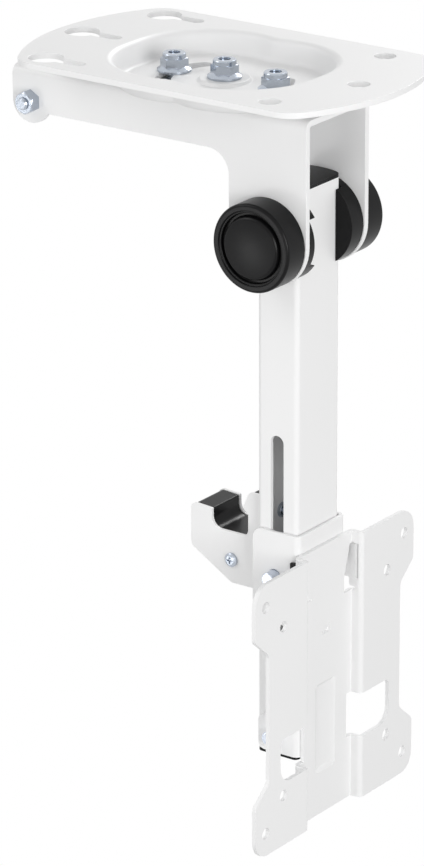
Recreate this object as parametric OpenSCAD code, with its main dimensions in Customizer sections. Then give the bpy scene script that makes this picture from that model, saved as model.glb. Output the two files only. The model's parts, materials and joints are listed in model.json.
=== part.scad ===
// Fold-down ceiling mount for a small flat screen.
// Origin: middle of the ceiling plate's top face, on the swivel axis.
// +Z is up, the screen faces -Y while the arm hangs down, +X is to the right.

/* [Ceiling plate] */
// Width of the ceiling plate
plate_w = 101; // [98:0.5:120]
// Length of the ceiling plate
plate_l = 165.6; // [163:0.2:180]
// Radius of the plate's curved ends
plate_end_r = 85; // [80:1:110]
// Radius of the plate's corners
plate_corner_r = 12; // [8:1:16]
// Thickness of the ceiling plate
plate_t = 2.5; // [2:0.1:3]
// Diameter of the plain screw holes
screw_hole_d = 9; // [6:0.5:10]
// Distance of the outer plain holes and keyholes from the middle
hole_x = 40; // [38:0.5:42]
// Distance of the two outer plain holes from the swivel axis
hole_y = 50.5; // [50:0.5:54]
// Distance of the middle plain hole from the swivel axis
mid_hole_y = 65; // [62:0.5:68]
// Distance of the outer keyholes from the swivel axis
key_y = 59.5; // [58:0.5:60]
// Distance of the middle keyhole from the swivel axis
mid_key_y = 71.8; // [71:0.1:73]
// Diameter of a keyhole's round end
key_d = 14.4; // [12:0.2:15]
// Width of a keyhole's slot
key_slot_w = 5.6; // [5:0.2:7]
// Length from a keyhole's round centre to the end of its slot
key_run = 19.6; // [15:0.2:20]

/* [Dish and swivel] */
// Depth of the pressed dish
dish_depth = 9; // [8:0.2:10]
// Radius of the corners of the dish's two lobes, at the rim
dish_r = 35; // [33:0.5:36]
// Distance of each lobe's middle from the swivel axis
lobe_y = 12; // [10:0.5:13]
// Half length of the straight stretch across each lobe
lobe_x = 5; // [3:0.5:6]
// Slope of the dish's wall
dish_wall_angle = 70; // [60:1:75]
// Radius of the guide bolts' circle
guide_r = 25; // [22:0.5:25]
// Swing to either side
swivel_angle = 35; // [20:1:40]
// Diameter of the swivel and latch bolts
bolt_d = 6; // [5:0.5:6]
// Height of the raised ring under the middle nut
boss_h = 1.2; // [0.8:0.1:1.4]
// Thickness of the plastic swivel washer
swivel_washer_t = 0.5; // [0.4:0.1:1]

/* [Bracket] */
// Outer width of the bracket
bracket_w = 43.8; // [43:0.2:48]
// Thickness of the bracket's sheet
bracket_t = 2.5; // [2:0.1:3]
// Distance of the hinge axis in front of the swivel axis
hinge_front = 36.4; // [34:0.2:38]
// Depth of the hinge axis under the ceiling
hinge_drop = 64.4; // [60:0.2:75]
// Radius of the bracket's round lugs
lug_r = 18.8; // [18:0.1:21]
// Depth of the rear arms' lower edge under the ceiling
arm_edge_drop = 30.3; // [28:0.1:32]
// Distance of the latch bolt behind the swivel axis
latch_back = 82; // [81:0.2:84]
// Depth of the latch bolt under the ceiling
latch_drop = 26.1; // [25.5:0.1:27.5]
// Radius of the rear lobes round the latch bolt
lobe_r = 9.3; // [8.5:0.1:10]

/* [Hinge] */
// Diameter of the hinge bolt
hinge_bolt_d = 8; // [6:0.5:8]
// Diameter of the black hinge caps
cap_d = 36.8; // [34:0.2:38]
// Height of the black hinge caps
cap_h = 11.8; // [10.6:0.1:14]
// Diameter of the friction discs
disc_d = 36.6; // [34:0.2:38]
// Depth of the grip of each disc round the arm
disc_grip = 4; // [2:0.5:5]

/* [Arm] */
// Width of the arm tube, side to side
tube_w = 30; // [28:0.5:30]
// Depth of the arm tube, front to back
tube_d = 20; // [18:0.5:20]
// Wall of the arm tube
tube_t = 1.8; // [1.5:0.1:2]
// Length of the arm tube
tube_l = 244.2; // [243:0.2:270]
// Length of the tube above the hinge axis
tube_over = 19.6; // [18:0.2:22]
// Width of the side slots
slot_w = 6.4; // [6.2:0.1:7]
// Travel of the sleeve along the arm
sleeve_travel = 57.5; // [30:0.5:60]

/* [Hook] */
// Outer width of the hook
hook_w = 21.2; // [18:0.2:24]
// Thickness of the hook's sheet
hook_t = 1.5; // [1.2:0.1:2]
// Reach of the hook behind the arm
hook_reach = 36.8; // [34:0.2:38]
// Distance of the notch's bottom below the hinge axis
notch_drop = 133.7; // [132:0.1:135]
// Width of the notch
notch_w = 18.4; // [16:0.2:19]
// Distance of the notch's rear side behind the arm
notch_back = 26.1; // [25:0.1:27]
// Height of the outer prong above the notch's bottom
outer_prong_h = 8.2; // [7:0.1:9]
// Height of the hook above the notch's bottom
hook_over = 19.5; // [18:0.1:21]
// Depth of the hook under the notch's bottom
hook_under = 22.5; // [21:0.5:24]
// Distance of the upper fixing screw above the notch's bottom
screw_over = 10.8; // [9.8:0.2:12.4]
// Depth of the lower fixing screw under the notch's bottom
screw_under = 14; // [12:0.5:15]
// Distance of the liner's screw behind the arm
liner_screw_back = 16; // [14:0.2:18]
// Depth of the liner's screw under the notch's bottom
liner_screw_under = 12.2; // [11:0.2:14]

/* [Sleeve] */
// Height of the sleeve's lower edge above the arm's lower end
sleeve_rise = 0.6; // [0:0.1:2]
// Height of the sleeve
sleeve_h = 98.4; // [97:0.2:100]
// Thickness of the sleeve's sheet
sleeve_t = 1.8; // [1.5:0.1:2]
// Diameter of the cross pins
pin_d = 6; // [5:0.1:6]
// Length of the cross pins
pin_l = 44.4; // [43:0.2:46]
// Height of the lower cross pin above the sleeve's lower edge
pin_rise = 7.8; // [7:0.1:9]
// Distance between the two cross pins
pin_gap = 71; // [69:0.5:72]

/* [Screen plate] */
// Outer width of the screen plate
screen_w = 114.4; // [112:0.2:120]
// Height of the screen plate
screen_h = 120; // [118:0.5:124]
// Thickness of the screen plate
screen_t = 1.8; // [1.5:0.1:2]
// Height of the screen plate's middle above the lower cross pin
screen_rise = 22.9; // [21:0.1:25]
// Side of the large square hole pattern
pattern_large = 100; // [100:1:100]
// Side of the small square hole pattern
pattern_small = 75; // [75:1:75]
// Diameter of the pattern holes
pattern_hole_d = 5; // [4.2:0.1:5.5]
// Depth of the screen plate's middle channel
channel_depth = 5.2; // [4.5:0.1:6]
// Inner width of the screen plate's middle channel
channel_w = 37.5; // [37:0.1:38]

/* [Hidden] */
$fn = 48;
steps = 6;

// Clearances
run_gap = 0.25;
face_gap = 0.1;
press_gap = 0.05;
hole_gap = 0.4;
over = 1;

// Standard fasteners, as multiples of the thread
nut_af = bolt_d * 10 / 6;
nut_flange_r = bolt_d * 7.1 / 6;
nut_h = 7.6;
head_h = bolt_d * 4 / 6;
hinge_af = hinge_bolt_d * 13 / 8;
hinge_head_h = hinge_bolt_d * 5.3 / 8;
hinge_nut_h = 5;
washer_t = 1.6;
spring_t = 1;
hook_screw_d = 4;
liner_screw_d = 3.5;

// Places in the row frame
hinge_y = -hinge_front;
hinge_z = -hinge_drop;
latch_y = latch_back;
latch_z = -latch_drop;
web_top = -(dish_depth + plate_t + swivel_washer_t);
web_low = web_top - bracket_t;
bracket_front = hinge_y - lug_r;
cheek_in = bracket_w / 2 - bracket_t;
web_back = latch_y - 1;
tube_top = hinge_z + tube_over;
tube_low = tube_top - tube_l;
tube_back = hinge_y + tube_d / 2;
tube_front = hinge_y - tube_d / 2;
tube_r = 2.2;
sleeve_low = tube_low + sleeve_rise;
sleeve_top = sleeve_low + sleeve_h;
sleeve_half = tube_w / 2 + run_gap + sleeve_t;
sleeve_front = tube_front - run_gap - sleeve_t;
low_pin_z = sleeve_low + pin_rise;
high_pin_z = low_pin_z + pin_gap;
slot_low = low_pin_z - slot_w / 2;
slot_top = high_pin_z + sleeve_travel + slot_w / 2;
base_back = sleeve_front - face_gap;
base_front = base_back - screen_t;
wing_front = base_front - channel_depth;
screen_mid = low_pin_z + screen_rise;
screen_top = screen_mid + screen_h / 2;
screen_low = screen_mid - screen_h / 2;
wall_in = channel_w / 2;
hook_back = tube_back + hook_reach;
notch_z = hinge_z - notch_drop;
hook_screw_z = [notch_z + screw_over, notch_z - screw_under];
notch_outer_y = tube_back + notch_back;
notch_inner_y = notch_outer_y - notch_w;
roller_d = 10;
// The folded arm is pushed home until the notch is seated on the latch roller
notch_mid = (notch_outer_y + notch_inner_y) / 2 - hinge_y;
latch_reach = norm([latch_y - hinge_y, latch_z - hinge_z]);
arm_push = notch_drop - sqrt(pow(latch_reach, 2) - pow(notch_mid, 2)) - roller_d / 2 - 0.2;

// Points of an arc round c
function arc(c, r, a0, a1, n = steps) =
    [for (i = [0 : n]) let (a = a0 + (a1 - a0) * i / n) c + r * [cos(a), sin(a)]];
function unit(v) = v / norm(v);
function turn(a) = a > 180 ? a - 360 : a < -180 ? a + 360 : a;
// One corner p of an outline, rounded with radius r
function corner(a, p, b, r) =
    r == 0 ? [p] :
    let (u = unit(a - p), v = unit(b - p), half = acos(u * v) / 2,
         c = p + unit(u + v) * r / sin(half),
         s = p + u * r / tan(half) - c, e = p + v * r / tan(half) - c,
         a0 = atan2(s.y, s.x), da = turn(atan2(e.y, e.x) - a0))
    arc(c, r, a0, a0 + da);
function flat(p) = [p.x, p.y];
// An outline of [x, y, corner radius] entries
function rounded(q) = [for (i = [0 : len(q) - 1])
    each corner(flat(q[(i + len(q) - 1) % len(q)]), flat(q[i]), flat(q[(i + 1) % len(q)]), q[i].z)];
function mirrored(q) = [for (p = q) [-p.x, p.y, p.z]];
function reversed(q) = [for (i = [len(q) - 1 : -1 : 0]) q[i]];
function box_outline(w, h, r) =
    rounded([[w / 2, h / 2, r], [-w / 2, h / 2, r], [-w / 2, -h / 2, r], [w / 2, -h / 2, r]]);
// Section of a folded channel: web at the top, legs down to -h
function channel_outline(w, h, t, bend) = rounded([
    [-w / 2, -h, 0], [-w / 2, 0, bend + t], [w / 2, 0, bend + t], [w / 2, -h, 0],
    [w / 2 - t, -h, 0], [w / 2 - t, -t, bend], [-w / 2 + t, -t, bend], [-w / 2 + t, -h, 0]]);

// Extrudes an outline drawn in Y and Z across the whole width w
module across(w) {
    translate([-w / 2, 0, 0]) rotate([90, 0, 90]) linear_extrude(w) children();
}
// Extrudes an outline drawn in X and Z from y0 back to y1
module frontal(y0, y1) {
    translate([0, y1, 0]) rotate([90, 0, 0]) linear_extrude(y1 - y0) children();
}
// A round hole or rod along X
module rod_x(d, x0, x1, y, z) {
    translate([x0, y, z]) rotate([0, 90, 0]) cylinder(d = d, h = x1 - x0);
}
module hex(af, h) {
    cylinder(d = af / cos(30), h = h, $fn = 6);
}
// Hex head or nut with its corners turned off at the top
module hex_head(af, h) {
    intersection() {
        hex(af, h);
        union() {
            cylinder(d = af / cos(30), h = h * 0.8);
            translate([0, 0, h * 0.8]) cylinder(d1 = af / cos(30), d2 = af * 0.95, h = h * 0.2);
        }
    }
}

// Ceiling plate
plate_mid_y = plate_l / 2 - plate_end_r;
function plate_corner_y() =
    plate_mid_y + sqrt(pow(plate_end_r - plate_corner_r, 2) - pow(plate_w / 2 - plate_corner_r, 2));
function plate_quarter() =
    let (cx = plate_w / 2 - plate_corner_r, cy = plate_corner_y(), a = atan2(cy - plate_mid_y, cx))
    concat(arc([cx, cy], plate_corner_r, 0, a), arc([0, plate_mid_y], plate_end_r, a, 90, 2 * steps));
function plate_outline() =
    let (q = plate_quarter(), h = concat(q, [for (p = reversed(q)) [-p.x, p.y]]))
    concat(h, [for (p = h) [-p.x, -p.y]]);

// The dish's wall in section, t under its upper face, from the floor up to the rim
dish_flare_r = plate_t + 1;
dish_root_r = 2.5;
dish_drop = dish_depth - (dish_flare_r + dish_root_r) * (1 - cos(dish_wall_angle));
dish_floor_r = dish_r - (dish_flare_r + dish_root_r) * sin(dish_wall_angle)
    - dish_drop / tan(dish_wall_angle);
function dish_wall(t) = concat(
    arc([dish_floor_r, dish_root_r - dish_depth], dish_root_r + t, -90, dish_wall_angle - 90),
    arc([dish_r, -dish_flare_r], dish_flare_r - t, 90 + dish_wall_angle, 90));
// One lobe: two half rounds with a straight stretch between them
module lobe(t, z_top) {
    half = concat([[0, -dish_depth - t]], dish_wall(t), [[dish_r, z_top], [0, z_top]]);
    wall = concat(dish_wall(t), [[dish_r, z_top]]);
    for (side = [-1, 1]) translate([side * lobe_x, 0, 0]) rotate([0, 0, -side * 90])
        rotate_extrude(angle = 180, $fn = 96) polygon(half);
    across(2 * lobe_x) polygon(concat(wall, [for (p = reversed(wall)) [-p.x, p.y]]));
}
// The waist between the lobes, rounded inwards on both sides
waist_r = 8;
module waist(t, z_top) {
    d = dish_r + waist_r;
    x = lobe_x + sqrt(d * d - lobe_y * lobe_y);
    low = -dish_depth - t;
    difference() {
        translate([0, 0, low]) linear_extrude(z_top - low) polygon([
            [lobe_x, lobe_y], [x, 0], [lobe_x, -lobe_y], [-lobe_x, -lobe_y], [-x, 0], [-lobe_x, lobe_y]]);
        for (side = [-1, 1]) translate([side * x, 0, 0]) rotate_extrude($fn = 96)
            polygon(concat([[0, low - over], [d - dish_floor_r, low - over]],
                [for (p = dish_wall(t)) [d - p.x, p.y]],
                [[waist_r, z_top + over], [0, z_top + over]]));
    }
}
module dish(t, z_top) {
    for (side = [-1, 1]) translate([0, side * lobe_y, 0]) lobe(t, z_top);
    waist(t, z_top);
}
boss_r = nut_flange_r + 3;
module keyhole(x, y) {
    translate([x, y, -plate_t - over]) {
        cylinder(d = key_d, h = plate_t + 2 * over);
        translate([-key_slot_w / 2, key_slot_w / 2 - key_run, 0])
            cube([key_slot_w, key_run - key_slot_w / 2, plate_t + 2 * over]);
        translate([0, key_slot_w / 2 - key_run, 0])
            cylinder(d = key_slot_w, h = plate_t + 2 * over);
    }
}
module screw_hole(x, y) {
    translate([x, y, -plate_t - over]) cylinder(d = screw_hole_d, h = plate_t + 2 * over);
}
guide_slot_w = bolt_d + 0.6;
module guide_slot() {
    h = plate_t + 2 * over;
    translate([0, 0, -dish_depth - plate_t - over]) {
        rotate([0, 0, 90 - swivel_angle]) rotate_extrude(angle = 2 * swivel_angle, $fn = 96)
            translate([guide_r - guide_slot_w / 2, 0]) square([guide_slot_w, h]);
        for (a = [-swivel_angle, swivel_angle]) rotate([0, 0, 90 + a])
            translate([guide_r, 0, 0]) cylinder(d = guide_slot_w, h = h);
    }
}
module ceiling_plate() {
    color("#eeeeee") difference() {
        union() {
            difference() {
                union() {
                    translate([0, 0, -plate_t]) linear_extrude(plate_t) polygon(plate_outline());
                    dish(plate_t, -plate_t / 2);
                }
                dish(0, over);
            }
            translate([0, 0, -dish_depth - plate_t / 2])
                cylinder(r = boss_r + boss_h, h = plate_t / 2);
            translate([0, 0, -dish_depth])
                cylinder(r1 = boss_r + boss_h, r2 = boss_r, h = boss_h);
        }
        translate([0, 0, -dish_depth - plate_t - over]) {
            cylinder(r = boss_r - plate_t + boss_h, h = over);
            translate([0, 0, over])
                cylinder(r1 = boss_r - plate_t + boss_h, r2 = boss_r - plate_t, h = boss_h);
            cylinder(d = bolt_d + hole_gap, h = dish_depth + plate_t);
        }
        for (turned = [0, 180]) rotate([0, 0, turned]) guide_slot();
        for (side = [-1, 1]) {
            screw_hole(side * hole_x, -hole_y);
            keyhole(side * hole_x, key_y);
        }
        screw_hole(0, -mid_hole_y);
        keyhole(0, mid_key_y);
    }
}

washer_r = guide_r - bolt_d / 2 - 3;
module swivel_washer() {
    color("#d8d8d4") translate([0, 0, web_top + face_gap / 2]) difference() {
        cylinder(r = washer_r, h = swivel_washer_t - face_gap);
        translate([0, 0, -over]) cylinder(d = bolt_d + hole_gap, h = swivel_washer_t + 2 * over);
    }
}

// Side view of the bracket: round hinge lug in front, long rear arm with its latch lobe
arm_fillet = 9.9;
lobe_fillet = 2;
lobe_dz = latch_z - (-arm_edge_drop - lobe_fillet);
lobe_start_y = latch_y - sqrt(pow(lobe_r + lobe_fillet, 2) - pow(lobe_dz, 2));
lobe_angle = atan2(lobe_dz, latch_y - lobe_start_y);
function bracket_side() = let (z = -arm_edge_drop, back = hinge_y + lug_r) concat(
    [[bracket_front, web_top + over], [bracket_front, hinge_z]],
    arc([hinge_y, hinge_z], lug_r, 180, 360, 4 * steps),
    arc([back + arm_fillet, z - arm_fillet], arm_fillet, 180, 90, 2 * steps),
    arc([lobe_start_y, z - lobe_fillet], lobe_fillet, 90, lobe_angle),
    arc([latch_y, latch_z], lobe_r, 180 + lobe_angle, 360, 3 * steps),
    [[latch_y + lobe_r, web_top + over]]);
// The web's rear cut-out, which lets the hook pass when the arm is up
cutout_w = hook_w + 2;
cutout_y = latch_y - 24;
module swivel_bracket() {
    bend = 1;
    color("#e8e8e8") difference() {
        intersection() {
            translate([0, 0, web_top]) frontal(bracket_front - over, latch_y + lobe_r + over)
                polygon(channel_outline(bracket_w, hinge_drop + lug_r, bracket_t, bend));
            across(bracket_w + 2 * over) polygon(bracket_side());
        }
        translate([0, 0, web_low - over]) {
            linear_extrude(bracket_t + 2 * over) polygon(rounded([
                [-cutout_w / 2, cutout_y, 3], [cutout_w / 2, cutout_y, 3],
                [cutout_w / 2, web_back + over, 0], [-cutout_w / 2, web_back + over, 0]]));
            translate([-cheek_in + bend, web_back, 0])
                cube([2 * (cheek_in - bend), lobe_r + 2 * over, bracket_t + 2 * over]);
            for (y = [-guide_r, 0, guide_r]) translate([0, y, 0])
                cylinder(d = bolt_d + hole_gap, h = bracket_t + 2 * over);
        }
        rod_x(hinge_bolt_d + hole_gap, -bracket_w, bracket_w, hinge_y, hinge_z);
        rod_x(bolt_d + hole_gap, -bracket_w, bracket_w, latch_y, latch_z);
    }
}

// Flange lock nut: broad flange, hexagon and the round collar that is rolled in over the insert
module flange_nut() {
    collar_h = 2;
    collar_d = nut_af * 0.96;
    edge = 0.4;
    lip = 0.6;
    difference() {
        union() {
            cylinder(r = nut_flange_r, h = 0.9);
            translate([0, 0, 0.9]) cylinder(r1 = nut_flange_r, r2 = nut_af / 2, h = 1.4);
            translate([0, 0, 1]) hex(nut_af, nut_h - collar_h - edge - 1);
            translate([0, 0, nut_h - collar_h - edge]) intersection() {
                hex(nut_af, edge);
                cylinder(d1 = nut_af / cos(30), d2 = nut_af, h = edge);
            }
            translate([0, 0, nut_h - collar_h - edge]) cylinder(d = collar_d, h = collar_h);
            translate([0, 0, nut_h - edge]) cylinder(d1 = collar_d, d2 = collar_d - 2 * edge, h = edge);
        }
        translate([0, 0, -over]) cylinder(d = bolt_d + 2 * press_gap, h = nut_h - lip + over);
        cylinder(d = bolt_d - 1, h = nut_h + over);
    }
}
// Bolt that stands up from under the web, with its head at the bottom
module web_bolt(z_end) {
    translate([0, 0, web_low]) mirror([0, 0, 1]) hex_head(nut_af, head_h);
    translate([0, 0, web_low - head_h / 2]) cylinder(d = bolt_d, h = z_end - web_low + head_h / 2);
}
pivot_nut_z = boss_h - dish_depth + face_gap;
guide_nut_z = face_gap - dish_depth;
module pivot_bolt() {
    color("#c4ccd8") web_bolt(pivot_nut_z + nut_h - 0.8);
}
module pivot_nut() {
    color("#c4ccd8") translate([0, 0, pivot_nut_z]) flange_nut();
}
module guide_bolts() {
    color("#c4ccd8") for (side = [-1, 1]) translate([0, side * guide_r, 0])
        web_bolt(guide_nut_z + nut_h - 0.8);
}
module guide_nuts() {
    color("#c4ccd8") for (side = [-1, 1]) translate([0, side * guide_r, guide_nut_z]) flange_nut();
}

latch_nut_h = bolt_d * 5 / 6;
module latch_bolt() {
    tip = 0.8;
    x_end = -bracket_w / 2 - latch_nut_h - 1.5;
    color("#c4ccd8") {
        translate([bracket_w / 2, latch_y, latch_z]) rotate([0, 90, 0]) hex_head(nut_af, head_h);
        rod_x(bolt_d, x_end + tip, bracket_w / 2 + head_h / 2, latch_y, latch_z);
        translate([x_end, latch_y, latch_z]) rotate([0, 90, 0])
            cylinder(d1 = bolt_d - 2 * tip, d2 = bolt_d, h = tip);
    }
}
module latch_nut() {
    color("#c4ccd8") difference() {
        translate([-bracket_w / 2, latch_y, latch_z]) rotate([0, -90, 0])
            hex_head(nut_af, latch_nut_h);
        rod_x(bolt_d + 2 * press_gap, -bracket_w, 0, latch_y, latch_z);
    }
}
module latch_roller() {
    half = cheek_in - face_gap;
    color("#2a2a2c") difference() {
        rod_x(roller_d, -half, half, latch_y, latch_z);
        rod_x(bolt_d + hole_gap, -half - over, half + over, latch_y, latch_z);
    }
}

// Hinge stack: head and washer on the right, spring washers and nut on the left
module hinge_bolt() {
    head_x = bracket_w / 2 + washer_t;
    end_x = -bracket_w / 2 - washer_t - 2 * spring_t - hinge_nut_h;
    color("#b8bec8") {
        translate([head_x, hinge_y, hinge_z]) rotate([0, 90, 0]) hex_head(hinge_af, hinge_head_h);
        rod_x(hinge_bolt_d, end_x, head_x + hinge_head_h / 2, hinge_y, hinge_z);
    }
}
module hinge_nut() {
    x = -bracket_w / 2 - washer_t - 2 * spring_t;
    color("#b8bec8") difference() {
        translate([x, hinge_y, hinge_z]) rotate([0, -90, 0]) hex_head(hinge_af, hinge_nut_h);
        rod_x(hinge_bolt_d + 2 * press_gap, -cap_h - bracket_w, 0, hinge_y, hinge_z);
    }
}
module hinge_washers() {
    color("#b8bec8") difference() {
        for (x = [-bracket_w / 2 - washer_t, bracket_w / 2])
            rod_x(2 * hinge_bolt_d, x, x + washer_t, hinge_y, hinge_z);
        rod_x(hinge_bolt_d + 2 * press_gap, -bracket_w, bracket_w, hinge_y, hinge_z);
    }
}
// Two cupped washers, the second turned over on the first
module spring_washers() {
    x0 = -bracket_w / 2 - washer_t;
    r_in = hinge_bolt_d / 2 + press_gap;
    r_out = hinge_bolt_d - 0.2;
    t = 0.8;
    rise = spring_t - t;
    section = [[r_in, rise], [r_out, 0], [r_out, t], [r_in, spring_t]];
    color("#8f949c") translate([x0, hinge_y, hinge_z]) rotate([0, -90, 0]) {
        rotate_extrude() polygon(section);
        translate([0, 0, 2 * spring_t]) mirror([0, 0, 1]) rotate_extrude() polygon(section);
    }
}
// Plastic cap over the hinge bolt: round-edged rim with a step inside it, groove and raised
// button, hollow behind
cap_wall = 1.6;
cap_rim_w = 2.9;
cap_step_w = 0.9;
cap_step_h = 0.7;
cap_groove_h = 2.4;
cap_button_r = cap_d / 2 - 5.2;
cap_button_rise = 0.4;
cap_socket_r = hinge_af / cos(30) / 2 + 2 * press_gap;
module hinge_cap() {
    r = cap_d / 2;
    rim_in = r - cap_rim_w;
    groove_out = rim_in - cap_step_w;
    button_h = cap_h + cap_button_rise;
    room = cap_h - cap_groove_h - cap_wall;
    pocket = cap_h - cap_wall - 0.1;
    socket_h = washer_t + 2.6;
    section = concat(
        [[cap_socket_r, pocket], [0, pocket], [0, button_h]],
        arc([cap_button_r - 1.8, button_h - 1.8], 1.8, 90, 0),
        [[cap_button_r, cap_h - cap_groove_h], [groove_out, cap_h - cap_groove_h],
         [groove_out, cap_h - cap_step_h], [rim_in, cap_h - cap_step_h], [rim_in, cap_h]],
        arc([r - 1.3, cap_h - 1.3], 1.3, 90, 0),
        [[r, 0], [r - cap_wall, 0], [r - cap_wall, room], [cap_socket_r + 1.6, room],
         [cap_socket_r + 1.6, socket_h], [cap_socket_r, socket_h]]);
    rotate_extrude($fn = 96) polygon(section);
}
module left_hinge_cap() {
    color("#222324") translate([-bracket_w / 2, hinge_y, hinge_z]) rotate([0, -90, 0]) hinge_cap();
}
module right_hinge_cap() {
    color("#222324") translate([bracket_w / 2, hinge_y, hinge_z]) rotate([0, 90, 0]) hinge_cap();
}
// Friction disc between cheek and tube, gripping the tube's side in a straight groove
disc_out = cheek_in - face_gap;
disc_floor = tube_w / 2 + 0.15;
module friction_disc(notched) {
    color("#222324") difference() {
        rod_x(disc_d, tube_w / 2 - disc_grip, disc_out, hinge_y, hinge_z);
        translate([0, hinge_y - tube_d / 2 - run_gap, hinge_z - disc_d])
            cube([disc_floor, tube_d + 2 * run_gap, 2 * disc_d]);
        rod_x(hinge_bolt_d + hole_gap, 0, disc_out + over, hinge_y, hinge_z);
        if (notched) translate([0, hinge_y - disc_d, hinge_z - disc_d * 0.27])
            cube([disc_floor, disc_d - tube_d / 2, disc_d * 0.54]);
    }
}
module left_friction_disc() {
    mirror([1, 0, 0]) friction_disc(true);
}
module right_friction_disc() {
    friction_disc(false);
}
bush_d = hinge_bolt_d + 4;
module hinge_bush() {
    half = tube_w / 2 - tube_t - 0.2;
    color("#c9c9c5") difference() {
        rod_x(bush_d, -half, half, hinge_y, hinge_z);
        rod_x(hinge_bolt_d + hole_gap, -half - over, half + over, hinge_y, hinge_z);
    }
}

// Arm tube with its side slots, hinge slots and hook screw holes
module side_slot(w, z_low, z_high) {
    half = tube_w / 2 + over;
    for (z = [z_low + w / 2, z_high - w / 2]) rod_x(w, -half, half, hinge_y, z);
    translate([-half, hinge_y - w / 2, z_low + w / 2])
        cube([2 * half, w, z_high - z_low - w]);
}
module arm_tube() {
    hinge_slot_w = hinge_bolt_d + hole_gap;
    color("#f0f0f0") difference() {
        translate([0, hinge_y, tube_low]) linear_extrude(tube_l)
            polygon(box_outline(tube_w, tube_d, tube_r));
        translate([0, hinge_y, tube_low - over]) linear_extrude(tube_l + 2 * over)
            polygon(box_outline(tube_w - 2 * tube_t, tube_d - 2 * tube_t, tube_r - tube_t + 0.2));
        side_slot(slot_w, slot_low, slot_top);
        side_slot(hinge_slot_w, hinge_z - arm_push - hinge_slot_w / 2, hinge_z + hinge_slot_w / 2);
        for (z = hook_screw_z) translate([0, tube_back + over, z]) rotate([90, 0, 0])
            cylinder(d = hook_screw_d + hole_gap, h = tube_t + 2 * over);
    }
}
cap_lip = 1.5;
module tube_plug(plug_l) {
    w = tube_w - 2 * tube_t - 2 * press_gap;
    d = tube_d - 2 * tube_t - 2 * press_gap;
    linear_extrude(cap_lip) polygon(box_outline(tube_w, tube_d, tube_r));
    translate([0, 0, -plug_l]) difference() {
        linear_extrude(plug_l + cap_lip / 2) polygon(box_outline(w, d, tube_r - tube_t + 0.2));
        translate([0, 0, -over]) linear_extrude(plug_l + over)
            polygon(box_outline(w - 3, d - 3, 0.2));
    }
}
module top_end_cap() {
    crown = 0.9;
    crown_r = (pow(tube_d / 2, 2) + crown * crown) / (2 * crown);
    color("#262728") translate([0, hinge_y, tube_top]) {
        tube_plug(7);
        intersection() {
            translate([0, 0, cap_lip / 2]) linear_extrude(cap_lip / 2 + crown)
                polygon(box_outline(tube_w - 0.6, tube_d - 0.6, tube_r - 0.3));
            rod_x(2 * crown_r, -tube_w, tube_w, 0, cap_lip + crown - crown_r, $fn = 360);
        }
    }
}
// The lower plug ends just under the slots
module bottom_end_cap() {
    color("#262728") translate([0, hinge_y, tube_low]) mirror([0, 0, 1])
        tube_plug(slot_low - tube_low - 0.7);
}

// Side view of the hook: low outer prong, notch open to the hinge, taller inner prong
prong_z = notch_z + outer_prong_h;
barb = 2.7;
hook_low = notch_z - hook_under;
hook_high = notch_z + hook_over;
function hook_side(inset) = rounded([
    [tube_back - over, hook_low + inset, 0],
    [notch_outer_y - 9.9, hook_low + inset, 3],
    [hook_back - inset, notch_z - 10, 3],
    [hook_back - inset, prong_z + 0.7 - inset, 2.4],
    [notch_outer_y + inset, prong_z - inset, 0.6],
    [notch_outer_y + inset, notch_z - inset, 4.6],
    [notch_inner_y - inset, notch_z - inset, 2.6],
    [notch_inner_y - inset, notch_z + 9.6 - inset, 1],
    [notch_inner_y + barb - inset, notch_z + 12.2, 1],
    [notch_inner_y - 0.6 - inset, hook_high - inset, 2.4],
    [tube_back - over, hook_high - inset, 0]]);
module hook_section(w, t) {
    translate([0, tube_back, hook_low - over]) linear_extrude(hook_high - hook_low + 2 * over)
        mirror([0, 1]) polygon(channel_outline(w, hook_reach + over, t, 1));
}
module hook_screw_space(d, y0, y1) {
    for (z = hook_screw_z) translate([0, y1, z]) rotate([90, 0, 0]) cylinder(d = d, h = y1 - y0);
}
hook_nut_h = 1.4;
liner_screw_y = tube_back + liner_screw_back;
liner_screw_z = notch_z - liner_screw_under;
module hook_bracket() {
    color("#ececec") difference() {
        intersection() {
            hook_section(hook_w, hook_t);
            across(hook_w + 2 * over) polygon(hook_side(0));
        }
        hook_screw_space(hook_screw_d + hole_gap, tube_back - over, tube_back + hook_t + over);
        rod_x(liner_screw_d + hole_gap, -hook_w, hook_w, liner_screw_y, liner_screw_z);
    }
}
hook_head_d = 8;
hook_head_h = 2.4;
module hook_liner() {
    w = hook_w - 2 * hook_t - 2 * press_gap;
    y0 = tube_back + hook_t + press_gap;
    color("#262728") difference() {
        intersection() {
            across(w) polygon(hook_side(0.3));
            translate([-w / 2, y0, hook_low]) linear_extrude(hook_high - hook_low)
                polygon(rounded([[0, 0, 1.2], [w, 0, 1.2], [w, hook_reach, 0], [0, hook_reach, 0]]));
        }
        hook_screw_space(hook_head_d + 0.6, tube_back, y0 + hook_head_h + 0.3);
        for (side = [-1, 1]) rod_x(liner_screw_d - 0.4, side > 0 ? w / 2 - 6.5 : -w / 2 - over,
            side > 0 ? w / 2 + over : 6.5 - w / 2, liner_screw_y, liner_screw_z);
    }
}
module liner_screw() {
    half = hook_w / 2;
    head_d = 6;
    color("#c4ccd8") translate([half, liner_screw_y, liner_screw_z]) rotate([0, 90, 0]) {
        difference() {
            union() {
                cylinder(d = head_d, h = 0.9);
                translate([0, 0, 0.9]) cylinder(d1 = head_d, d2 = head_d * 0.6, h = 0.7);
            }
            for (a = [0, 90]) rotate([0, 0, a]) translate([-1.5, -0.4, 0.8]) cube([3, 0.8, 1]);
        }
        translate([0, 0, -7]) cylinder(d = liner_screw_d - 0.5, h = 7.2);
    }
}
module liner_screws() {
    liner_screw();
    mirror([1, 0, 0]) liner_screw();
}
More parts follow.
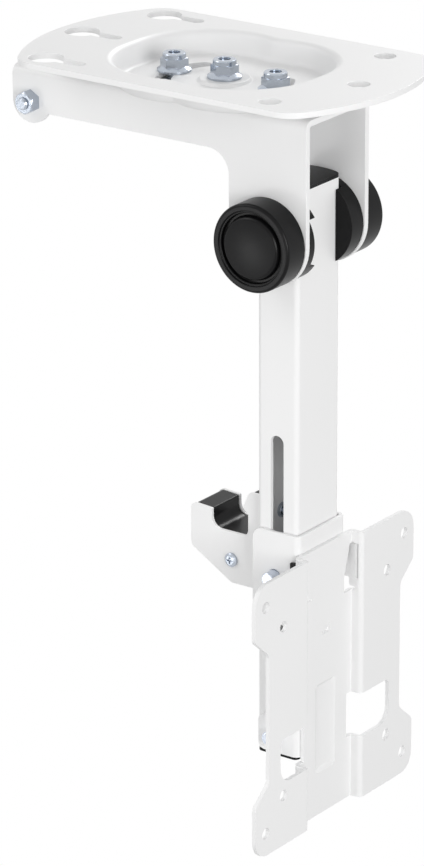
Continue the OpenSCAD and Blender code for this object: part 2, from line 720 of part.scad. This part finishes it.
module hook_screws() {
    y = tube_back + hook_t;
    end_y = tube_back - tube_t - hook_nut_h - 0.7;
    color("#c4ccd8") for (z = hook_screw_z) {
        translate([0, y, z]) rotate([-90, 0, 0])
            cylinder(d1 = hook_head_d, d2 = hook_head_d * 0.7, h = hook_head_h);
        translate([0, y + hook_head_h / 2, z]) rotate([90, 0, 0])
            cylinder(d = hook_screw_d, h = y + hook_head_h / 2 - end_y);
    }
}
// Low round nuts, pressed on to the inside of the arm's rear wall
module hook_nuts() {
    color("#c4ccd8") for (z = hook_screw_z) translate([0, tube_back - tube_t, z])
        rotate([90, 0, 0]) difference() {
            cylinder(d1 = hook_screw_d + 2.6, d2 = hook_screw_d + 1.8, h = hook_nut_h);
            translate([0, 0, -over])
                cylinder(d = hook_screw_d + 2 * press_gap, h = hook_nut_h + 2 * over);
        }
}

// Sleeve: folded round the tube's front and sides, cut back between its two pins
function sleeve_side() = let (
        back = tube_back + 1, waist = sleeve_front + 4, lug = hinge_y + 8.2,
        z1 = high_pin_z - 20.9, z2 = low_pin_z + 8.2)
    rounded([
        [sleeve_front - over, sleeve_low, 0], [lug, sleeve_low, 3], [lug, z2, 3],
        [waist, z2, 2], [waist, z1, 2], [back, z1, 4], [back, sleeve_top, 4.5],
        [sleeve_front - over, sleeve_top, 0]]);
module sleeve() {
    color("#f2f2f2") difference() {
        intersection() {
            translate([0, sleeve_front, sleeve_low - over]) linear_extrude(sleeve_h + 2 * over)
                mirror([0, 1]) polygon(channel_outline(2 * sleeve_half,
                    tube_back - sleeve_front + 2, sleeve_t, 1));
            across(2 * sleeve_half + 2 * over) polygon(sleeve_side());
        }
        for (z = [low_pin_z, high_pin_z])
            rod_x(pin_d + 2 * press_gap, -sleeve_half - over, sleeve_half + over, hinge_y, z);
    }
}
module cross_pin(z) {
    tip = 0.4;
    color("#ccd6e2") {
        rod_x(pin_d, tip - pin_l / 2, pin_l / 2 - tip, hinge_y, z);
        for (side = [-1, 1]) translate([side * pin_l / 2, hinge_y, z]) rotate([0, -side * 90, 0])
            cylinder(d1 = pin_d - 2 * tip, d2 = pin_d, h = tip);
    }
}
module upper_pin() {
    cross_pin(high_pin_z);
}
module lower_pin() {
    cross_pin(low_pin_z);
}

// Screen plate: one folded sheet with two wings and a channel set back between them
bend_in = 0.4;
bend_out = bend_in + screen_t;
function hat_right() = [
    [wall_in, base_front, bend_in], [wall_in, wing_front, bend_out],
    [screen_w / 2, wing_front, 0], [screen_w / 2, wing_front + screen_t, 0],
    [wall_in + screen_t, wing_front + screen_t, bend_in], [wall_in + screen_t, base_back, bend_out]];
function wing_right() = let (x = screen_w / 2, narrow = screen_w / 2 - 9.7, foot = 23.4, step = 9) [
    [x, screen_low, 8], [x, screen_low + foot, 3], [narrow, screen_low + foot + 8.2, step / 2],
    [narrow, screen_top - foot - 8.2, step / 2], [x, screen_top - foot, 3], [x, screen_top, 9]];
window_top = screen_mid - 12.3;
window_low = screen_mid - 32;
window_out = screen_w / 2 - 17.6;
window_in = wall_in - 3.4;
tab_top = high_pin_z + pin_d / 2 + 3.2;
tab_low = high_pin_z - 8.9;
tab_front = base_front - 2.15;
tab_back = base_back + 3.75;
relief_low = tab_low - 5.3;
neck_back = base_front + 1.2;
neck_low = relief_low + 1.5;
slit_front = wing_front + screen_t;
// Short tab that stands back beside the sleeve, carried by a narrow neck of the wall
module side_tab() {
    translate([wall_in, 0, 0]) rotate([90, 0, 90]) linear_extrude(screen_t) polygon(rounded([
        [tab_front, tab_low - 1, 0], [tab_front, tab_top, 0.8], [tab_back, tab_top, 2],
        [tab_back, tab_low, 1.2], [neck_back, tab_low, 0.8], [neck_back, tab_low - 1, 0]]));
}
// Relief cut round a tab: slits in the wall over and under the neck, and a slanted mouth in
// the floor
module tab_relief() {
    x_out = wall_in + screen_t + 0.2;
    rear = base_back + over;
    translate([wall_in - 0.01, 0, 0]) rotate([90, 0, 90]) linear_extrude(x_out - wall_in)
        polygon(rounded([
            [slit_front, tab_low, 0], [slit_front, tab_top + 0.6, 0], [rear, tab_top + 0.6, 0],
            [rear, relief_low, 0], [base_front - 1.6, relief_low, 0.6],
            [base_front - 1.6, neck_low, 0.6], [neck_back, neck_low, 1], [neck_back, tab_low, 0]]));
    frontal(base_front - bend_in, rear) polygon([
        [wall_in, tab_top + 0.6], [wall_in - 1.7, tab_top], [wall_in - 2.3, tab_top - 3],
        [wall_in - 5.4, tab_low + 2.5], [wall_in - 5.4, relief_low], [wall_in, relief_low]]);
}
// Recess pressed into the channel's floor, w by h and with sloped sides [left, right, end]
module recess(w, h, depth, slope, r) {
    function mouth(run) = run * (depth + over) / depth;
    translate([0, base_front, 0]) intersection() {
        translate([0, 0, -h / 2 - over]) linear_extrude(h + 2 * over) polygon([
            [slope[0] - w / 2, depth], [slope[0] - mouth(slope[0]) - w / 2, -over],
            [w / 2 - slope[1] + mouth(slope[1]), -over], [w / 2 - slope[1], depth]]);
        across(w + 2 * over) polygon([
            [depth, slope[2] - h / 2], [-over, slope[2] - mouth(slope[2]) - h / 2],
            [-over, h / 2 - slope[2] + mouth(slope[2])], [depth, h / 2 - slope[2]]]);
        frontal(-over, depth + over) polygon(box_outline(w, h, r));
    }
}
// Small louvre, pushed back along its lower edge
module louvre(w, h, depth) {
    translate([0, base_front, 0]) across(w)
        polygon([[-over, 0], [depth, 0], [-over, h * (depth + over) / depth]]);
}
module screen_plate() {
    depth = wing_front - 2 * over;
    color("#f2f2f2") {
        difference() {
            intersection() {
                translate([0, 0, screen_low - over]) linear_extrude(screen_h + 2 * over)
                    polygon(rounded(concat(hat_right(), reversed(mirrored(hat_right())))));
                frontal(depth, base_back + over)
                    polygon(rounded(concat(wing_right(), reversed(mirrored(wing_right())))));
            }
            for (side = [-1, 1]) {
                for (up = [-1, 1], s = [pattern_large, pattern_small])
                    translate([side * s / 2, 0, screen_mid + up * s / 2]) rotate([90, 0, 0])
                        cylinder(d = pattern_hole_d, h = 2 * screen_w, center = true);
                scale([side, 1, 1]) frontal(depth, base_back + over) polygon(rounded([
                    [window_in, window_top, 0.5], [window_in, window_low, 0.5],
                    [window_out, window_low, 7], [window_out, window_top, 3]]));
                scale([side, 1, 1]) tab_relief();
            }
            translate([0, 0, screen_mid - 20.9]) recess(14.7, 40.2, 1.2, [3, 3, 1.8], 2.5);
            translate([-wall_in + 4.9, 0, high_pin_z - 2.65]) recess(9.8, 13.9, 0.8, [0.1, 2, 0.1], 0);
            translate([0.35, 0, screen_mid + 20.7]) louvre(5.4, 4.5, 1.4);
        }
        for (side = [-1, 1]) scale([side, 1, 1]) side_tab();
    }
}

// Black pads between the sleeve's sides and the tabs of the screen plate
module plate_pads() {
    x0 = sleeve_half + press_gap;
    x1 = wall_in - press_gap;
    color("#262728") for (side = [-1, 1]) scale([side, 1, 1])
        translate([x0, base_back + 0.2, high_pin_z + 0.6]) cube([x1 - x0, 3.1, 8]);
}

ceiling_plate();
swivel_washer();
swivel_bracket();
pivot_bolt();
pivot_nut();
guide_bolts();
guide_nuts();
latch_bolt();
latch_nut();
latch_roller();
hinge_bolt();
hinge_nut();
hinge_washers();
spring_washers();
left_hinge_cap();
right_hinge_cap();
left_friction_disc();
right_friction_disc();
hinge_bush();
arm_tube();
top_end_cap();
bottom_end_cap();
hook_bracket();
hook_liner();
liner_screws();
hook_screws();
hook_nuts();
sleeve();
upper_pin();
lower_pin();
screen_plate();
plate_pads();
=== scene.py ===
"""Studio look of a fold-down ceiling mount for a small flat screen."""

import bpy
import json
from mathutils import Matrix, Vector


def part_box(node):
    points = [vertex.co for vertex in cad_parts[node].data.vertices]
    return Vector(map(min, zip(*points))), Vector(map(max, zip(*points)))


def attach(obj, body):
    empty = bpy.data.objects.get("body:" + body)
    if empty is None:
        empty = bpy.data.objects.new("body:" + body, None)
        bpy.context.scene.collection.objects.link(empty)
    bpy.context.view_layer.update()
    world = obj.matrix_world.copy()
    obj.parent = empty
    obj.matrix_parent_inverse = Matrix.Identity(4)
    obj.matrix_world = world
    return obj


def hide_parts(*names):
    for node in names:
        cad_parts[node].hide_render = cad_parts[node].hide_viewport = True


bl_info = {
    "name": "Fold-down ceiling mount",
    "version": (1, 0, 0),
    "blender": (4, 5, 0),
    "location": "3D View > Sidebar > Ceiling Mount",
    "description": "Dresses a fold-down ceiling screen mount in powder coat, zinc and nylon",
    "category": "Object",
}

import json
import math

import bmesh
import bpy
from bpy.props import (FloatProperty, FloatVectorProperty, IntProperty, PointerProperty,
                       StringProperty)
from bpy.types import Operator, Panel, PropertyGroup
from mathutils import Matrix, Vector

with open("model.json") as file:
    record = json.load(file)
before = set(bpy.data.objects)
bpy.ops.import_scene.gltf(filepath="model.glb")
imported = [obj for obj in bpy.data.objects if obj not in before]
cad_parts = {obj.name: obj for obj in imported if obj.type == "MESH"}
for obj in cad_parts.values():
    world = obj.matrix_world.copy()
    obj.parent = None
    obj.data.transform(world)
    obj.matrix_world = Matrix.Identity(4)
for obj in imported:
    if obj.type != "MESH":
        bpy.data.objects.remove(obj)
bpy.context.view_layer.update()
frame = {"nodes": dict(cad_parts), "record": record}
MM = 0.001

# Limits of the mesh work
WELD = 0.001 * MM                  # vertices closer than this are one
FLAT = math.radians(0.5)           # facets that turn by less are one face
SHARP = math.radians(30)           # edges that turn by more are rounded
SMOOTH = math.radians(35)          # edges that turn by less are shaded smooth
BUTTON_SIDES = 12                  # a cap's round button has more sides than this

# Sizes of the grain in the finishes
PEEL = 2.0 * MM                    # orange peel of the powder coat
DRIFT = 60 * MM                    # slow change of tone in the powder coat
CLOUD = 1.5 * MM                   # clouding of the plating
SKIN = 0.35 * MM                   # spark-eroded skin of the mouldings
FLOW = 14 * MM                     # flow marks in the mouldings

# Studio, in metres
FLOOR_SIZE = 14
SENSOR_WIDTH = 36.0                # in millimetres, across the picture's longer side
FARTHEST = 60.0                    # what the camera sees ends here
AIM = (0, 0, -0.15)                # the lamps look at the middle of the arm
LAMPS = (                          # name, place, size, setting with its power
    ("main lamp", (-0.76, -1.5, 0.22), 0.8, "main_power"),
    ("left lamp", (-1.7, -0.1, -0.3), 1.0, "left_power"),
    ("rear lamp", (-0.9, 1.3, 1.2), 1.0, "rear_power"),
    ("right lamp", (1.25, 0.3, 0.75), 0.5, "right_power"),
    ("low lamp", (-1.36, 0.85, -0.62), 0.3, "low_power"),
)


# Settings

class FinishSettings(PropertyGroup):
    """Colours of the coatings, metals and plastics, as sRGB hex values"""
    powder: StringProperty(name="Powder coat", description="White polyester powder coat",
                           default="#F2F2F2")
    powder_dull: StringProperty(name="Powder coat, duller", description="Duller patches of the coat",
                                default="#EFEFEF")
    zinc: StringProperty(name="Zinc", description="Blue passivated zinc plate on nuts and bolts",
                         default="#B9C0CA")
    pin: StringProperty(name="Pin steel", description="Bright plated steel of the cross pins",
                        default="#D3DAE6")
    nylon: StringProperty(name="Nylon", description="Black glass-filled nylon", default="#0B0B0C")
    acetal: StringProperty(name="Acetal", description="Natural acetal of the swivel washer",
                           default="#DCDCD6")
    spring: StringProperty(name="Spring steel", description="Oiled spring washers",
                           default="#6E7278")


class EdgeSettings(PropertyGroup):
    """Radii of the coated and moulded edges"""
    sheet: FloatProperty(name="Sheet edge", description="Rounding that the coat gives a cut sheet edge",
                         default=0.45 * MM, min=0.0, unit="LENGTH")
    tube: FloatProperty(name="Tube edge", description="Rounding of the tube's slots and ends",
                        default=0.3 * MM, min=0.0, unit="LENGTH")
    moulded: FloatProperty(name="Moulded edge", description="Radius on the plastic parts' edges",
                           default=0.35 * MM, min=0.0, unit="LENGTH")
    turned: FloatProperty(name="Turned edge", description="Chamfer on the fasteners' edges",
                          default=0.2 * MM, min=0.0, unit="LENGTH")
    segments: IntProperty(name="Edge segments", description="Steps across each rounded edge",
                          default=3, min=1, max=6)


class FormSettings(PropertyGroup):
    """Forms that are finished here rather than in the solids"""
    button_crown: FloatProperty(name="Button crown",
                                description="Rise of the crowned button on each hinge cap",
                                default=0.7 * MM, min=0.0, unit="LENGTH")
    crown_rings: IntProperty(name="Crown rings", description="Steps from the crown's rim inwards",
                             default=7, min=2, max=20)
    cross_bolt_share: FloatProperty(name="Cross bolt",
                                    description="Width of the latch's cross bolt against its solid",
                                    default=0.86, min=0.5, max=1.0, subtype="FACTOR")


class StudioSettings(PropertyGroup):
    """Lamps, surroundings and camera"""
    surround: FloatProperty(name="Surround", description="Strength of the even light all round",
                            default=0.46, min=0.0)
    main_power: FloatProperty(name="Main lamp",
                              description="Power of the lamp in front, a little to the left",
                              default=16.0, min=0.0, unit="POWER")
    left_power: FloatProperty(name="Left lamp", description="Power of the large lamp on the left",
                              default=4.0, min=0.0, unit="POWER")
    rear_power: FloatProperty(name="Rear lamp",
                              description="Power of the large lamp behind, above and to the left",
                              default=8.5, min=0.0, unit="POWER")
    right_power: FloatProperty(name="Right lamp",
                               description="Power of the lamp that lights the tops of nuts and caps",
                               default=8.5, min=0.0, unit="POWER")
    low_power: FloatProperty(name="Low lamp",
                             description="Power of the small lamp that shows in the caps' faces",
                             default=2.0, min=0.0, unit="POWER")
    floor_paint: StringProperty(name="Floor paint", description="Colour of the matt white floor",
                                default="#F4F4F4")
    floor_drop: FloatProperty(name="Floor", description="Depth of the floor under the ceiling plate",
                              default=2.4, min=0.5, unit="LENGTH")
    camera_place: FloatVectorProperty(name="Camera place", description="Where the camera stands",
                                      default=(-1.40995, -1.01942, 0.48587), size=3,
                                      subtype="TRANSLATION", unit="LENGTH")
    azimuth: FloatProperty(name="Azimuth", description="Direction the camera looks from",
                           default=math.radians(-53.943), subtype="ANGLE")
    elevation: FloatProperty(name="Elevation", description="Angle of the camera above level",
                             default=math.radians(20.363), subtype="ANGLE")
    roll: FloatProperty(name="Roll", description="Tilt of the picture", default=math.radians(-0.275),
                        subtype="ANGLE")
    lens: FloatProperty(name="Lens", description="Focal length on a 36 mm frame, in millimetres",
                        default=186.96, min=10.0)


def settings():
    """The mount's settings, kept with the scene."""
    return bpy.context.scene.ceiling_mount


# Mesh helpers

def clean_copy(node):
    """A bmesh of a part with its flat facets merged."""
    bm = bmesh.new()
    bm.from_mesh(frame["nodes"][node].data)
    bmesh.ops.remove_doubles(bm, verts=bm.verts, dist=WELD)
    bmesh.ops.dissolve_limit(bm, angle_limit=FLAT, verts=bm.verts, edges=bm.edges)
    return bm


def round_edges(bm, radius):
    """Rounds every sharp edge. A radius of 0 leaves them all."""
    if radius <= 0:
        return
    sharp = [e for e in bm.edges if len(e.link_faces) == 2 and e.calc_face_angle(0) > SHARP]
    bmesh.ops.bevel(bm, geom=sharp, offset=radius, offset_type="OFFSET",
                    segments=settings().edges.segments, profile=0.5, affect="EDGES",
                    clamp_overlap=True, loop_slide=True)


def keep_flats(piece):
    """Turns the shading of each rounded edge towards its flat neighbours, which stay flat."""
    piece.modifiers.new("flats", "WEIGHTED_NORMAL").keep_sharp = True
    graph = bpy.context.evaluated_depsgraph_get()
    weighted = bpy.data.meshes.new_from_object(piece.evaluated_get(graph))
    piece.modifiers.clear()
    piece.data = weighted


def new_piece(bm, name, body, material, node):
    """Turns a bmesh into a piece that rides on a body, and hides the part it stands for."""
    mesh = bpy.data.meshes.new(name)
    bm.to_mesh(mesh)
    bm.free()
    mesh.materials.append(material)
    for face in mesh.polygons:
        face.use_smooth = True
        face.material_index = 0
    mesh.set_sharp_from_angle(angle=SMOOTH)
    piece = bpy.data.objects.new(name, mesh)
    bpy.context.scene.collection.objects.link(piece)
    keep_flats(piece)
    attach(piece, body)
    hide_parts(node)


def finished(node, radius, material, shape=None):
    """Stands a round-edged copy in for a part, after a change of shape where one is given."""
    record = frame["record"]
    body = next(b for b, members in record["behaviour"]["bodies"].items() if node in members)
    bm = clean_copy(node)
    if shape:
        shape(bm, node)
    round_edges(bm, radius)
    new_piece(bm, node + "_finished", body, material, node)


def slim_fastener(bm, node):
    """Draws a fastener in to the slimmer size of the cross bolt, about its own axis along X."""
    low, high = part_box(node)
    middle = Vector([(a + b) / 2 for a, b in zip(low, high)])
    share = settings().forms.cross_bolt_share
    bmesh.ops.scale(bm, vec=(1, share, share), space=Matrix.Translation(-middle), verts=bm.verts)


def crown_button(bm, node):
    """Crowns the flat button in the middle of a hinge cap, in rings from its rim inwards."""
    across_x = [f for f in bm.faces if abs(f.normal.x) > 0.99 and len(f.verts) > BUTTON_SIDES]
    button = max(across_x, key=lambda f: abs(f.calc_center_median().x))
    middle, outwards = button.calc_center_median(), button.normal.copy()
    rim = list(button.verts)
    bmesh.ops.delete(bm, geom=[button], context="FACES_ONLY")
    forms, outer = settings().forms, rim
    for ring in range(1, forms.crown_rings):
        share = 1 - ring / forms.crown_rings
        rise = outwards * forms.button_crown * (1 - share ** 2)
        inner = [bm.verts.new(middle + (v.co - middle) * share + rise) for v in rim]
        for i in range(len(rim)):
            bm.faces.new((outer[i - 1], outer[i], inner[i], inner[i - 1]))
        outer = inner
    bm.faces.new(outer)


# Colours and materials

def linear(hex_code):
    """sRGB hex to linear RGBA."""
    values = [int(hex_code[i:i + 2], 16) / 255 for i in (1, 3, 5)]
    return [v / 12.92 if v <= 0.04045 else ((v + 0.055) / 1.055) ** 2.4 for v in values] + [1.0]


def add_node(tree, kind, links=(), **values):
    """Adds one node: keyword values are attributes, or sockets where no attribute has the name."""
    node = tree.nodes.new(kind)
    for key, value in values.items():
        if hasattr(node, key):
            setattr(node, key, value)
        else:
            node.inputs[key.replace("_", " ")].default_value = value
    for source, target in links:
        tree.links.new(source, node.inputs[target])
    return node


def blank_material(name):
    """A new material with its tree, shader and object coordinates, or else the one that exists."""
    material = bpy.data.materials.get(name)
    if material:
        return material, None, None, None
    material = bpy.data.materials.new(name)
    material.use_nodes = True
    tree = material.node_tree
    tree.nodes.clear()
    shader = add_node(tree, "ShaderNodeBsdfPrincipled")
    add_node(tree, "ShaderNodeOutputMaterial", [(shader.outputs["BSDF"], "Surface")])
    place = add_node(tree, "ShaderNodeTexCoord").outputs["Object"]
    return material, tree, shader, place


def powder_coat():
    # White polyester powder coat on steel: even satin film, with a faint orange peel about
    # 2 mm across that breaks up the reflections
    material, tree, shader, place = blank_material("white powder coat")
    if not tree:
        return material
    peel = add_node(tree, "ShaderNodeTexNoise", [(place, "Vector")], Scale=1 / PEEL,
                    Detail=2.0, Roughness=0.45)
    drift = add_node(tree, "ShaderNodeTexNoise", [(place, "Vector")], Scale=1 / DRIFT, Detail=1.0)
    tone = add_node(tree, "ShaderNodeMixRGB", [(drift.outputs["Fac"], "Fac")],
                    Color1=linear(settings().finish.powder),
                    Color2=linear(settings().finish.powder_dull))
    bump = add_node(tree, "ShaderNodeBump", [(peel.outputs["Fac"], "Height")],
                    Strength=0.05, Distance=0.1 * MM)
    tree.links.new(tone.outputs["Color"], shader.inputs["Base Color"])
    tree.links.new(bump.outputs["Normal"], shader.inputs["Normal"])
    shader.inputs["Roughness"].default_value = 0.42
    shader.inputs["IOR"].default_value = 1.5
    return material


def plated(name, colour, roughness, streak, dulling=0.88):
    # Zinc or nickel plate: bright metal, slightly cloudy from the plating barrel
    material, tree, shader, place = blank_material(name)
    if not tree:
        return material
    cloud = add_node(tree, "ShaderNodeTexNoise", [(place, "Vector")], Scale=1 / CLOUD,
                     Detail=3.0, Roughness=0.6)
    base = linear(colour)
    dull = [c * dulling for c in base[:3]] + [1.0]
    tone = add_node(tree, "ShaderNodeMixRGB", [(cloud.outputs["Fac"], "Fac")], Color1=dull, Color2=base)
    rough = add_node(tree, "ShaderNodeMapRange", [(cloud.outputs["Fac"], "Value")])
    rough.inputs["To Min"].default_value = roughness - streak
    rough.inputs["To Max"].default_value = roughness + streak
    tree.links.new(tone.outputs["Color"], shader.inputs["Base Color"])
    tree.links.new(rough.outputs["Result"], shader.inputs["Roughness"])
    shader.inputs["Metallic"].default_value = 1.0
    return material


def moulded(name, colour, roughness, grain, gloss=0.5):
    # Moulded plastic: satin skin with the fine spark-eroded grain of the mould, about 0.3 mm
    material, tree, shader, place = blank_material(name)
    if not tree:
        return material
    skin = add_node(tree, "ShaderNodeTexNoise", [(place, "Vector")], Scale=1 / SKIN,
                    Detail=2.0, Roughness=0.6)
    flow = add_node(tree, "ShaderNodeTexNoise", [(place, "Vector")], Scale=1 / FLOW, Detail=1.0)
    base = linear(colour)
    pale = [min(1.0, c * 1.35 + 0.002) for c in base[:3]] + [1.0]
    tone = add_node(tree, "ShaderNodeMixRGB", [(flow.outputs["Fac"], "Fac")], Color1=base, Color2=pale)
    bump = add_node(tree, "ShaderNodeBump", [(skin.outputs["Fac"], "Height")],
                    Strength=grain, Distance=0.05 * MM)
    tree.links.new(tone.outputs["Color"], shader.inputs["Base Color"])
    tree.links.new(bump.outputs["Normal"], shader.inputs["Normal"])
    shader.inputs["Roughness"].default_value = roughness
    shader.inputs["Specular IOR Level"].default_value = gloss
    shader.inputs["IOR"].default_value = 1.53
    return material


def zinc_plate():
    """Blue passivated zinc on the stock fasteners."""
    return plated("blue zinc plate", settings().finish.zinc, roughness=0.2, streak=0.05)


def black_nylon():
    """Black nylon of the caps, discs, liner and pads."""
    return moulded("black nylon", settings().finish.nylon, roughness=0.3, grain=0.2, gloss=0.13)


# Pieces

class MOUNT_OT_ceiling_plate(Operator):
    """Pressed ceiling plate with its dish, keyholes and guide slots"""
    bl_idname = "ceiling_mount.ceiling_plate"
    bl_label = "Ceiling plate"

    def execute(self, context):
        finished("ceiling_plate", settings().edges.sheet, powder_coat())
        acetal = moulded("acetal", settings().finish.acetal, roughness=0.4, grain=0.1)
        finished("swivel_washer", 0, acetal)
        return {"FINISHED"}


class MOUNT_OT_bracket(Operator):
    """Folded swivel bracket"""
    bl_idname = "ceiling_mount.bracket"
    bl_label = "Swivel bracket"

    def execute(self, context):
        finished("swivel_bracket", settings().edges.sheet, powder_coat())
        return {"FINISHED"}


class MOUNT_OT_fasteners(Operator):
    """Flange nuts, bolts, washers and screws"""
    bl_idname = "ceiling_mount.fasteners"
    bl_label = "Fasteners"

    def execute(self, context):
        edge = settings().edges.turned
        for node in ("pivot_bolt", "pivot_nut", "guide_bolts", "guide_nuts", "hinge_bolt", "hinge_nut",
                     "hinge_washers", "hinge_bush", "liner_screws", "hook_screws", "hook_nuts"):
            finished(node, edge, zinc_plate())
        for node in ("latch_bolt", "latch_nut"):
            finished(node, edge, zinc_plate(), slim_fastener)
        oiled = plated("oiled spring steel", settings().finish.spring, roughness=0.35, streak=0.05)
        finished("spring_washers", 0, oiled)
        return {"FINISHED"}


class MOUNT_OT_hinge(Operator):
    """Black caps, friction discs and latch roller"""
    bl_idname = "ceiling_mount.hinge"
    bl_label = "Hinge plastics"

    def execute(self, context):
        for node in ("left_friction_disc", "right_friction_disc", "latch_roller"):
            finished(node, settings().edges.moulded, black_nylon())
        for node in ("left_hinge_cap", "right_hinge_cap"):
            finished(node, settings().edges.moulded, black_nylon(), crown_button)
        return {"FINISHED"}


class MOUNT_OT_arm(Operator):
    """Arm tube with its two end caps"""
    bl_idname = "ceiling_mount.arm"
    bl_label = "Arm"

    def execute(self, context):
        finished("arm_tube", settings().edges.tube, powder_coat())
        finished("top_end_cap", settings().edges.moulded, black_nylon())
        finished("bottom_end_cap", settings().edges.moulded, black_nylon())
        return {"FINISHED"}


class MOUNT_OT_hook(Operator):
    """Latch hook and its black liner"""
    bl_idname = "ceiling_mount.hook"
    bl_label = "Hook"

    def execute(self, context):
        finished("hook_bracket", settings().edges.sheet, powder_coat())
        finished("hook_liner", settings().edges.moulded, black_nylon())
        return {"FINISHED"}


class MOUNT_OT_sleeve(Operator):
    """Sliding sleeve with its two cross pins"""
    bl_idname = "ceiling_mount.sleeve"
    bl_label = "Sleeve"

    def execute(self, context):
        finished("sleeve", settings().edges.sheet, powder_coat())
        bright = plated("bright plated pin", settings().finish.pin, roughness=0.22, streak=0.04)
        finished("upper_pin", settings().edges.turned, bright)
        finished("lower_pin", settings().edges.turned, bright)
        return {"FINISHED"}


class MOUNT_OT_screen_plate(Operator):
    """Folded screen plate"""
    bl_idname = "ceiling_mount.screen_plate"
    bl_label = "Screen plate"

    def execute(self, context):
        finished("screen_plate", settings().edges.sheet, powder_coat())
        finished("plate_pads", settings().edges.moulded, black_nylon())
        return {"FINISHED"}


def lamp(name, place, size, power):
    """A white square area lamp at a place, turned to the lamps' aim."""
    light = bpy.data.lights.new(name, "AREA")
    light.shape = "SQUARE"
    light.size = size
    light.energy = power
    holder = bpy.data.objects.new(name, light)
    bpy.context.scene.collection.objects.link(holder)
    holder.location = place
    holder.rotation_euler = (Vector(AIM) - Vector(place)).to_track_quat("-Z", "Y").to_euler()


def seen_rays(tree):
    """Gives 1 for the rays that only look at the background, and 0 for those that light the part."""
    path = add_node(tree, "ShaderNodeLightPath")
    seen = add_node(tree, "ShaderNodeMath", operation="MAXIMUM",
                    links=[(path.outputs["Is Camera Ray"], 0), (path.outputs["Is Glossy Ray"], 1)])
    seen = add_node(tree, "ShaderNodeMath", operation="MAXIMUM",
                    links=[(seen.outputs[0], 0), (path.outputs["Is Transmission Ray"], 1)])
    return seen.outputs[0]


def white_background(tree, lit, plain, output):
    """Shows the plain white to the rays that only look, and the lit shader to all others."""
    mix = add_node(tree, "ShaderNodeMixShader",
                   [(seen_rays(tree), 0), (lit.outputs[0], 1), (plain.outputs[0], 2)])
    add_node(tree, output, [(mix.outputs[0], "Surface")])


class MOUNT_OT_stage(Operator):
    """Floor, white surround, lamps and camera"""
    bl_idname = "ceiling_mount.stage"
    bl_label = "Stage"

    def execute(self, context):
        studio = settings().studio
        scene = context.scene
        scene.view_settings.view_transform = "Standard"

        world = bpy.data.worlds.new("white studio")
        scene.world = world
        world.use_nodes = True
        tree = world.node_tree
        tree.nodes.clear()
        even = add_node(tree, "ShaderNodeBackground", Color=(1, 1, 1, 1), Strength=studio.surround)
        white = add_node(tree, "ShaderNodeBackground", Color=(1, 1, 1, 1), Strength=1.0)
        white_background(tree, even, white, "ShaderNodeOutputWorld")

        bm = bmesh.new()
        bmesh.ops.create_grid(bm, x_segments=1, y_segments=1, size=FLOOR_SIZE)
        mesh = bpy.data.meshes.new("floor")
        bm.to_mesh(mesh)
        bm.free()
        floor = bpy.data.objects.new("floor", mesh)
        scene.collection.objects.link(floor)
        floor.location = (0, 0, -studio.floor_drop)
        paint = bpy.data.materials.new("white painted floor")
        paint.use_nodes = True
        tree = paint.node_tree
        tree.nodes.clear()
        matt = add_node(tree, "ShaderNodeBsdfDiffuse", Color=linear(studio.floor_paint))
        glow = add_node(tree, "ShaderNodeEmission", Color=(1, 1, 1, 1), Strength=1.0)
        white_background(tree, matt, glow, "ShaderNodeOutputMaterial")
        mesh.materials.append(paint)

        for name, place, size, power in LAMPS:
            lamp(name, place, size, getattr(studio, power))

        camera = bpy.data.cameras.new("camera")
        camera.lens = studio.lens
        camera.sensor_width = SENSOR_WIDTH
        camera.sensor_fit = "AUTO"
        camera.clip_end = FARTHEST
        holder = bpy.data.objects.new("camera", camera)
        scene.collection.objects.link(holder)
        turn = (Matrix.Rotation(studio.azimuth, 4, "Z")
                @ Matrix.Rotation(math.pi / 2 - studio.elevation, 4, "X")
                @ Matrix.Rotation(studio.roll, 4, "Z"))
        holder.matrix_world = Matrix.Translation(studio.camera_place) @ turn
        scene.camera = holder
        return {"FINISHED"}


class MountSettings(PropertyGroup):
    """All settings of the mount"""
    finish: PointerProperty(type=FinishSettings)
    edges: PointerProperty(type=EdgeSettings)
    forms: PointerProperty(type=FormSettings)
    studio: PointerProperty(type=StudioSettings)


PIECES = (MOUNT_OT_ceiling_plate, MOUNT_OT_bracket, MOUNT_OT_fasteners, MOUNT_OT_hinge,
          MOUNT_OT_arm, MOUNT_OT_hook, MOUNT_OT_sleeve, MOUNT_OT_screen_plate, MOUNT_OT_stage)


class MOUNT_PT_panel(Panel):
    """Lists the pieces and their settings"""
    bl_idname = "MOUNT_PT_panel"
    bl_label = "Ceiling Mount"
    bl_space_type = "VIEW_3D"
    bl_region_type = "UI"
    bl_category = "Ceiling Mount"

    def draw(self, context):
        for piece in PIECES:
            self.layout.operator(piece.bl_idname)
        for group in (settings().finish, settings().edges, settings().forms, settings().studio):
            box = self.layout.box()
            for name in group.__annotations__:
                box.prop(group, name)


CLASSES = (FinishSettings, EdgeSettings, FormSettings, StudioSettings, MountSettings, *PIECES,
           MOUNT_PT_panel)


def register():
    for cls in CLASSES:
        bpy.utils.register_class(cls)
    bpy.types.Scene.ceiling_mount = PointerProperty(type=MountSettings)


def unregister():
    del bpy.types.Scene.ceiling_mount
    for cls in reversed(CLASSES):
        bpy.utils.unregister_class(cls)


def main():
    register()
    for piece in PIECES:
        group, name = piece.bl_idname.split(".")
        getattr(getattr(bpy.ops, group), name)()


if __name__ == "__main__":
    main()
